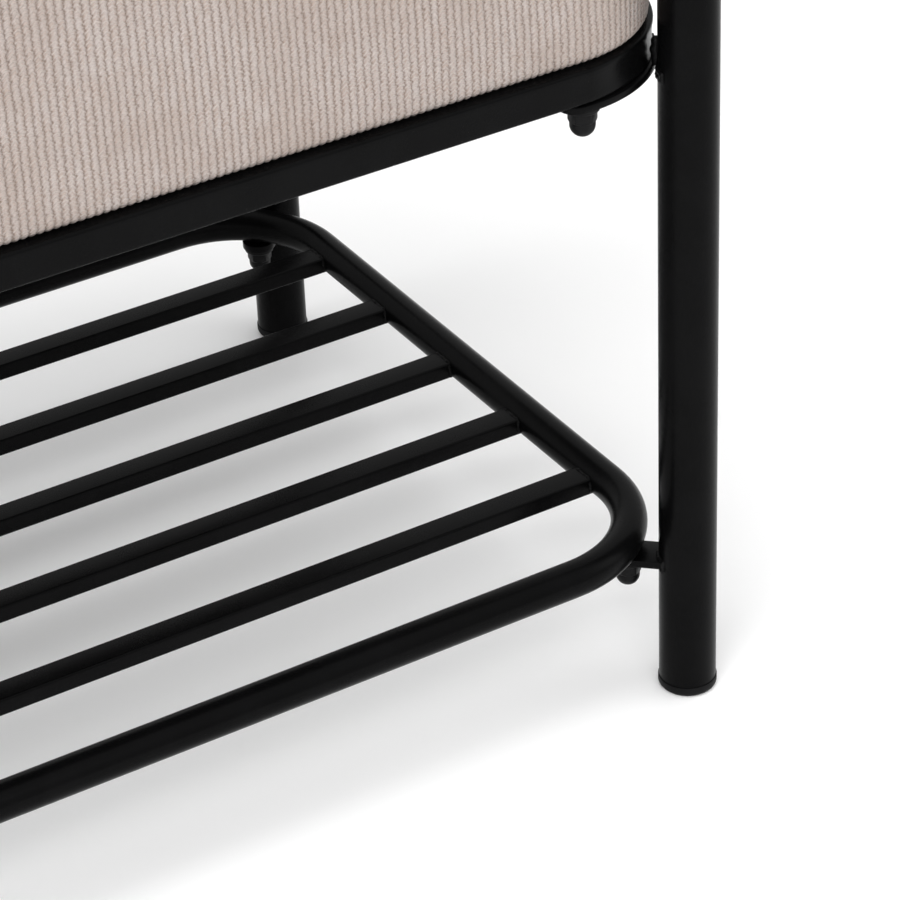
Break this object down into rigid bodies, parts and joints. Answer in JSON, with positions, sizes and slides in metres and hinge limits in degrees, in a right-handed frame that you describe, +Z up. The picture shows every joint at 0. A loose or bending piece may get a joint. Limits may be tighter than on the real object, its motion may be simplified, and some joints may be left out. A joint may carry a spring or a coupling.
{
  "type": "entryway bench",
  "caption": "Padded entryway bench on a black bent-tube frame, with hoop ends that rise as arm rails and a slatted shoe rack below.",
  "frame": {"origin": "on the floor, at the centre of the bench's footprint", "axes": "+X along the bench towards its right end, +Y towards its back, +Z up"},
  "size_m": [1.0008, 0.3898, 0.6],
  "materials": {
    "powder_coat": "satin black powder coat",
    "black_plastic": "fine moulded texture",
    "black_zinc": "satin black plated steel",
    "ribbed_weave": "ribbed chenille, greige",
    "foam": "open-cell foam",
    "plywood": "raw plywood",
    "nonwoven": "thin black non-woven cloth"
  },
  "bodies": {
    "root": {"end_frame_left": "powder_coat", "end_frame_right": "powder_coat", "foot_cap_front_left": "black_plastic", "rack_tab_front_left": "powder_coat", "rack_stud_front_left": "black_zinc", "rack_cap_nut_front_left": "black_zinc", "seat_plate_front_left": "powder_coat", "seat_stud_front_left": "black_zinc", "seat_cap_nut_front_left": "black_zinc", "foot_cap_front_right": "black_plastic", "rack_tab_front_right": "powder_coat", "rack_stud_front_right": "black_zinc", "rack_cap_nut_front_right": "black_zinc", "seat_plate_front_right": "powder_coat", "seat_stud_front_right": "black_zinc", "seat_cap_nut_front_right": "black_zinc", "foot_cap_rear_left": "black_plastic", "rack_tab_rear_left": "powder_coat", "rack_stud_rear_left": "black_zinc", "rack_cap_nut_rear_left": "black_zinc", "seat_plate_rear_left": "powder_coat", "seat_stud_rear_left": "black_zinc", "seat_cap_nut_rear_left": "black_zinc", "foot_cap_rear_right": "black_plastic", "rack_tab_rear_right": "powder_coat", "rack_stud_rear_right": "black_zinc", "rack_cap_nut_rear_right": "black_zinc", "seat_plate_rear_right": "powder_coat", "seat_stud_rear_right": "black_zinc", "seat_cap_nut_rear_right": "black_zinc", "rack_frame": "powder_coat", "rack_slat_1": "powder_coat", "rack_slat_2": "powder_coat", "rack_slat_3": "powder_coat", "rack_slat_4": "powder_coat", "rack_slat_5": "powder_coat", "seat_frame": "powder_coat", "seat_cross_bar_1": "powder_coat", "seat_cross_bar_2": "powder_coat", "cushion_screw_1": "black_zinc", "cushion_screw_2": "black_zinc", "cushion_screw_3": "black_zinc", "cushion_screw_4": "black_zinc", "seat_board": "plywood", "foam_block": "foam", "cushion_cover": "ribbed_weave", "dust_cover": "nonwoven"}
  },
  "joints": []
}
